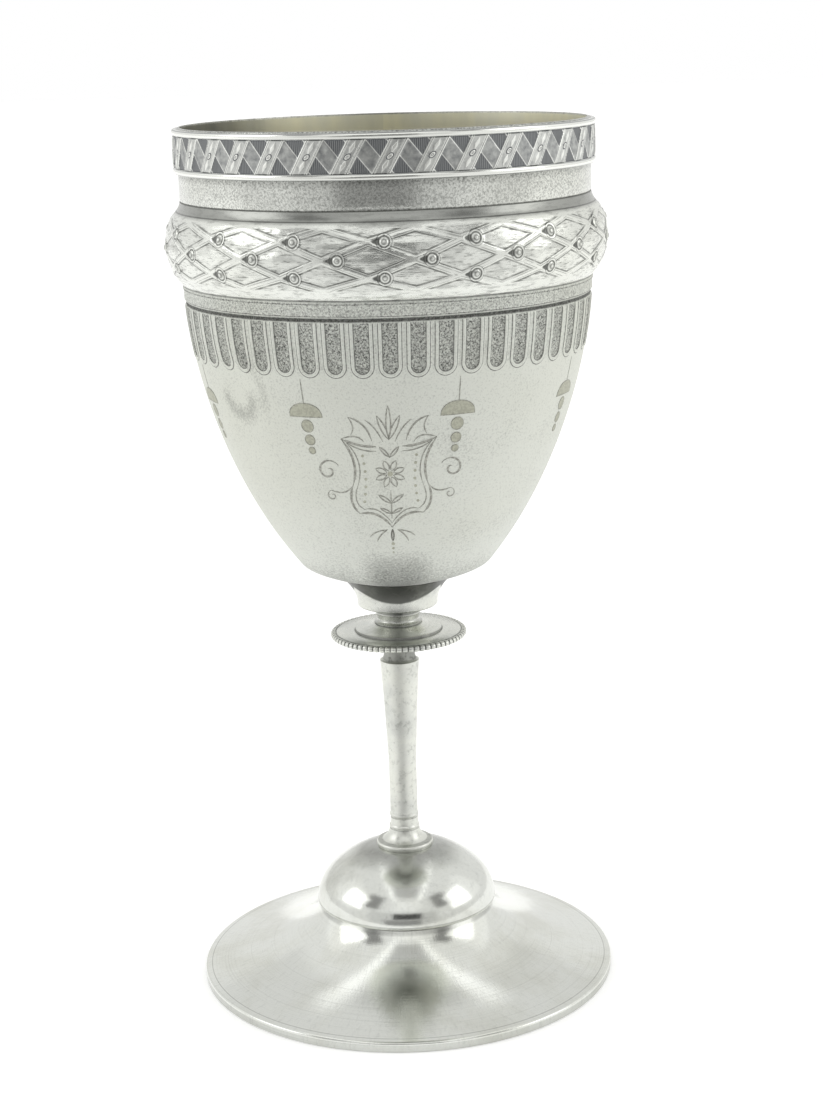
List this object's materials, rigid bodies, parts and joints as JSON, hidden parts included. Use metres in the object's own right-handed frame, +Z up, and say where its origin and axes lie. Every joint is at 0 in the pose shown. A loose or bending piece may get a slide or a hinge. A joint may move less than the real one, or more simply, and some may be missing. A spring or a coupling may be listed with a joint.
{
  "type": "silver goblet",
  "caption": "Stemmed silver goblet: egg-shaped open bowl with a latticed girdle and ribbon frieze, beaded knop disc, slim stem and flared hollow foot that it stands on.",
  "frame": {"origin": "centre of the foot's underside, on the surface that the goblet stands on", "axes": "+Z up along the axis of turning, -Y towards the engraved front, +X to the front's right"},
  "size_m": [0.0816, 0.0816, 0.1654],
  "materials": {
    "foot_silver": "spun silver, satin with fine turning lines and scratches",
    "dome_silver": "polished silver with hairline scratches",
    "stem_silver": "dull silver, finely pitted",
    "knop_silver": "polished silver dulled by handling, darker between the beads",
    "socket_silver": "polished silver dulled by handling",
    "bowl_silver": "satin stippled silver, polished girdle, darkened engraving, pale gold wash inside",
    "band_silver": "bright die-rolled silver over a darkened ground"
  },
  "bodies": {
    "root": {"foot": "foot_silver", "foot_dome": "dome_silver", "stem": "stem_silver", "knop_disc": "knop_silver", "bowl_socket": "socket_silver", "bowl": "bowl_silver", "rim_band": "band_silver"}
  },
  "joints": []
}
